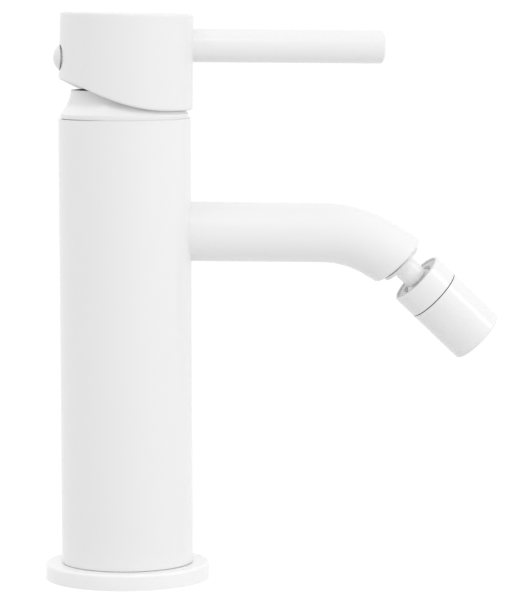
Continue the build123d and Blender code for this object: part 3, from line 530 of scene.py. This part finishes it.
def outer_rows(theta):
    """Rows of radius and height round the low edge, up the wall and in over the top."""
    ones = np.ones_like(theta)
    rows = []
    height, lean = underside(LOW_R * np.cos(theta))
    m = lean * np.cos(theta)
    lip_z = height + LIP_ROUND * (np.sqrt(1.0 + m**2) - m)
    for part in np.linspace(1.0, 0.0, 9):
        a = -part * (np.pi / 2 - np.arctan(m))
        z = lip_z + LIP_ROUND * np.sin(a)
        rows.append((wall_radius(z) - LIP_ROUND * (1.0 - np.cos(a)), z))
    side_top = HEAD_TOP - TOP_ROUND
    for part in np.linspace(0.0, 1.0, SIDE_ROWS + 1)[1:]:
        z = lip_z + (side_top - lip_z) * part
        rows.append((wall_radius(z), z))
    for a in np.linspace(0.0, np.pi / 2, TOP_ARC + 1)[1:]:
        z = (side_top + TOP_ROUND * np.sin(a)) * ones
        rows.append((wall_radius(z) - TOP_ROUND * (1.0 - np.cos(a)), z))
    for part in TOP_RINGS:
        rows.append(((TOP_R - TOP_ROUND) * part * ones, HEAD_TOP * ones))
    return rows


theta = turns(COLUMNS)
rows = hollow_rows(theta) + outer_rows(theta)
radius, height = (np.stack(column) for column in zip(*rows))
grid_points = np.stack([radius * np.cos(theta), radius * np.sin(theta), height], -1).reshape(-1, 3)
print("rows of the head", len(rows))

# %% [markdown]
# The cover button sits in a round hole at the back. A window is left out of the grid there, and rings
# of points lead from its square border to the rounded lip of the hole and down its wall to the floor.

# %% Open the hole for the cover button
HOLE_MARGIN = 0.75
first_side = len(rows) - len(TOP_RINGS) - TOP_ARC - SIDE_ROWS - 1
back_heights = height[first_side:first_side + SIDE_ROWS, COLUMNS // 2]
low_row, high_row = (
    first_side + int(np.searchsorted(back_heights, HOLE_Z + reach))
    for reach in (-HOLE_R - HOLE_MARGIN, HOLE_R + HOLE_MARGIN)
)
half_window = int(np.ceil((HOLE_R + HOLE_MARGIN) / wall_radius(HOLE_Z) * COLUMNS / (2.0 * np.pi)))
first_column, last_column = COLUMNS // 2 - half_window, COLUMNS // 2 + half_window
quads = wrapped_quads(len(rows), COLUMNS)
keep = np.ones(quads.shape[:2], bool)
keep[low_row:high_row, first_column:last_column] = False
across = np.arange(first_column, last_column)
up_rows = np.arange(low_row, high_row)
loop = np.concatenate([
    low_row * COLUMNS + across, up_rows * COLUMNS + last_column,
    high_row * COLUMNS + across[::-1] + 1, (up_rows[::-1] + 1) * COLUMNS + first_column,
])
border = grid_points[loop][:, 1:]
bearing = np.arctan2(border[:, 1] - HOLE_Z, border[:, 0])
around = np.stack([np.cos(bearing), np.sin(bearing)], -1)
lip = around * (HOLE_R + HOLE_ROUND) + [0.0, HOLE_Z]
patch = []
for part in np.linspace(0.0, 1.0, 8)[1:]:
    spot = border + (lip - border) * part
    patch.append(np.column_stack([-np.sqrt(wall_radius(spot[:, 1]) ** 2 - spot[:, 0] ** 2), spot]))
mouth_x = patch[-1][:, 0]
for a in np.linspace(0.0, np.pi / 2, 5)[1:]:
    spot = around * (HOLE_R + HOLE_ROUND * (1.0 - np.sin(a))) + [0.0, HOLE_Z]
    patch.append(np.column_stack([mouth_x + HOLE_ROUND * (1.0 - np.cos(a)), spot]))
for part, reach in ((0.5, 1.0), (1.0, 1.0), (1.0, 0.6), (1.0, 0.2)):
    spot = around * HOLE_R * reach + [0.0, HOLE_Z]
    depth = mouth_x + HOLE_ROUND + (-HOLE_FLOOR - mouth_x - HOLE_ROUND) * part
    patch.append(np.column_stack([depth, spot]))
print("hole in rows", low_row, "to", high_row, "and columns", first_column, "to", last_column)


# %% Join the lever head
def head_to_world(local):
    """Turns points of the head's own axes into points of the mixer."""
    ahead, side, up = local[:, :1], local[:, 1:2], local[:, 2:]
    return HEAD_CENTRE + ahead * head_ahead + side * SIDEWAYS + up * head_up


patch_points = np.concatenate(patch)
patch_numbers = len(grid_points) + np.arange(len(patch_points)).reshape(-1, len(loop))
rings = np.concatenate([loop[None, :], patch_numbers])
after = np.roll(rings, -1, 1)
patch_quads = np.stack([rings[:-1], after[:-1], after[1:], rings[1:]], -1)
poles = np.array([[0.0, 0.0, CEILING], [0.0, 0.0, HEAD_TOP], [-HOLE_FLOOR, 0.0, HOLE_Z]])
points = np.concatenate([grid_points, patch_points, poles])
ceiling_pole, top_pole, floor_pole = range(len(points) - len(poles), len(points))
ceiling_ring = np.arange(COLUMNS)[::-1]
top_ring = (len(rows) - 1) * COLUMNS + np.arange(COLUMNS)
triangles = np.concatenate([
    fan(ceiling_pole, ceiling_ring), fan(top_pole, top_ring), fan(floor_pole, rings[-1]),
])
head_quads = np.concatenate([quads[keep], patch_quads.reshape(-1, 4)])
used = np.unique(np.concatenate([head_quads.ravel(), triangles.ravel()]))
renumber = np.zeros(len(points), int)
renumber[used] = np.arange(len(used))
cast_head = surface(
    "cast_head", head_to_world(points[used]), renumber[head_quads], renumber[triangles],
    head_coating_painted_shade, "white_paint", "lever",
)
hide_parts("lever_head")

# %% [markdown]
# ## Coating in the corner of the lever rod
# The rod is pressed into the head before both are coated, and the powder melts into the corner
# between them and rounds it. The ring follows the round wall of the head, so it is computed in polar
# steps about the rod: at every step its section is a hollow quarter circle.

# %% Compute the fillet at the rod
ROD_R, ROD_FILLET, ROD_SINK = 5.69, 0.7, 0.3
ROD_DROOP = np.radians(0.83)
rod_ahead = np.array([np.cos(ROD_DROOP), 0.0, -np.sin(ROD_DROOP)])
rod_up = np.array([np.sin(ROD_DROOP), 0.0, np.cos(ROD_DROOP)])
ROD_FOOT = np.array([0.0, 0.0, 182.575])
phi = turns(144)


def head_wall_ahead(reach):
    """How far along the rod's axis the head's wall lies, at a distance from that axis, all round."""
    side, rise = reach * np.sin(phi), reach * np.cos(phi)
    wall = wall_radius(rise + ROD_FOOT[2] - HEAD_CENTRE[2])
    return np.sqrt(wall**2 - side**2) + HEAD_CENTRE[0]


wall_ahead = head_wall_ahead(ROD_R + ROD_FILLET)
section = []
for a in np.linspace(0.0, np.pi / 2, 9):
    reach = ROD_R + ROD_FILLET * (1.0 - np.sin(a))
    section.append((reach, wall_ahead + ROD_FILLET * (1.0 - np.cos(a))))
section.append((ROD_R - ROD_SINK, wall_ahead + ROD_FILLET))
section.append((ROD_R - ROD_SINK, wall_ahead - ROD_SINK))
section.append((ROD_R + ROD_FILLET, wall_ahead - ROD_SINK))
section.append(section[0])
outward = np.sin(phi)[:, None] * SIDEWAYS + np.cos(phi)[:, None] * rod_up
ring_points = np.concatenate([
    ROD_FOOT + along[:, None] * rod_ahead + reach * outward for reach, along in section[:-1]
])
ring_quads = wrapped_quads(len(section), len(phi)).reshape(-1, 4) % len(ring_points)
surface(
    "rod_coating_fillet", ring_points, ring_quads[:, ::-1], NO_TRIANGLES,
    white_coating, "white_paint", "lever",
)

# %% [markdown]
# ## Seals in the seams
# A thin ring fills the seam over the body and another the seam round the outlet. The white one bulges
# nearly to the surface on the spout's side and is sunk at the back, where its seam looks black. The
# black one makes its seam dark all round. How deep a ring is sunk is given for every step round.

# %% Compute the seals
BODY_TOP = np.array([0.0, 0.0, 157.65])
BODY_AXES = np.eye(3)
BODY_RING = (20.98, 22.1, 0.02, 0.28)
RING_SINK, RING_TURN = 1.1, np.radians(5.0)
OUTLET_DIP = np.radians(43.8)
OUTLET_AXES = np.array([
    SIDEWAYS, [np.sin(OUTLET_DIP), 0.0, np.cos(OUTLET_DIP)],
    [np.cos(OUTLET_DIP), 0.0, -np.sin(OUTLET_DIP)],
])
OUTLET_RING = (9.45, 9.85, 2.22, 2.54)


def seam_ring(name, centre, axes, size, sink, slot, body):
    """A ring of inner and outer radius, low and high level. It is sunk from the outer radius."""
    inner, outer, low, high = size
    across, side, along = axes
    turn = turns(len(sink))[:, None]
    inner, outer = np.full(len(sink), inner), outer - sink
    reach = np.stack([inner, outer, outer, inner])[..., None]
    level = np.array([low, low, high, high])[:, None, None]
    points = centre + reach * (np.cos(turn) * across + np.sin(turn) * side) + level * along
    quads = wrapped_quads(5, len(sink)) % (4 * len(sink))
    return surface(name, points.reshape(-1, 3), quads, NO_TRIANGLES, finishes[slot], slot, body)


sink = RING_SINK * np.clip(-np.cos(turns(360) + RING_TURN), 0.0, 1.0)
seam_ring("body_seam_ring", BODY_TOP, BODY_AXES, BODY_RING, sink, "white_plastic", "mixer")
seam_ring(
    "outlet_seam_ring", BALL_CENTRE, OUTLET_AXES, OUTLET_RING, np.zeros(240), "black_rubber", "outlet",
)

# %% [markdown]
# ## Threads in the foot
# The foot has three tapped holes, two for the supply and one for the fixing. Their threads are cut in
# bare brass, which the coating leaves free. A thread is a screw surface: its radius depends only on how
# far one is along the pitch, less the share of a turn already made, so one formula gives the sleeve.

# %% Compute the threads
THREAD_COLUMNS, ROWS_PER_PITCH = 72, 14
FLANK, ROOT_FLAT = 1.6, 0.25
THREAD_FOOT, MOUTH_GAP, MOUTH_RUN = 0.05, 0.3, 1.2
ROOT_GAP, BACK_GAP = 0.03, 0.005
SUPPLY_THREAD = (4.5, 0.55, 1.0, 11.9)
STUD_THREAD = (3.4, 0.6, 1.25, 15.9)


def thread_sleeve(name, x, y, size):
    """A sleeve threaded on its inside, with sloped flanks, flat crests and a chamfer at the mouth.
    Its size is bore radius, ridge height, pitch and length."""
    bore, ridge_height, pitch, length = size
    turn = turns(THREAD_COLUMNS)
    rise = np.linspace(THREAD_FOOT, length, int(length / pitch * ROWS_PER_PITCH))
    phase = (rise[:, None] / pitch - turn / (2.0 * np.pi)) % 1.0
    ridge = np.clip(FLANK * (1.0 - np.abs(2.0 * phase - 1.0)) - ROOT_FLAT, 0.0, 1.0)
    chamfer = np.clip((rise - MOUTH_GAP) / (MOUTH_RUN * ridge_height), 0.0, 1.0)
    inner = bore - ROOT_GAP - ridge_height * ridge * chamfer[:, None]
    back = np.full((2, len(turn)), bore - BACK_GAP)
    reach = np.concatenate([inner, back])
    level = np.concatenate([rise, [length, THREAD_FOOT]])[:, None] * np.ones(len(turn))
    points = np.stack([x + reach * np.cos(turn), y + reach * np.sin(turn), level], -1).reshape(-1, 3)
    quads = wrapped_quads(len(level) + 1, len(turn)).reshape(-1, 4) % len(points)
    brass = finishes["brass"]
    return surface(name, points, quads[:, ::-1], NO_TRIANGLES, brass, "brass", "mixer", sharp=50.0)


thread_sleeve("inlet_thread_left", 2.6, -7.0, SUPPLY_THREAD)
thread_sleeve("inlet_thread_right", 2.6, 7.0, SUPPLY_THREAD)
thread_sleeve("stud_thread", -10.0, 0.0, STUD_THREAD)
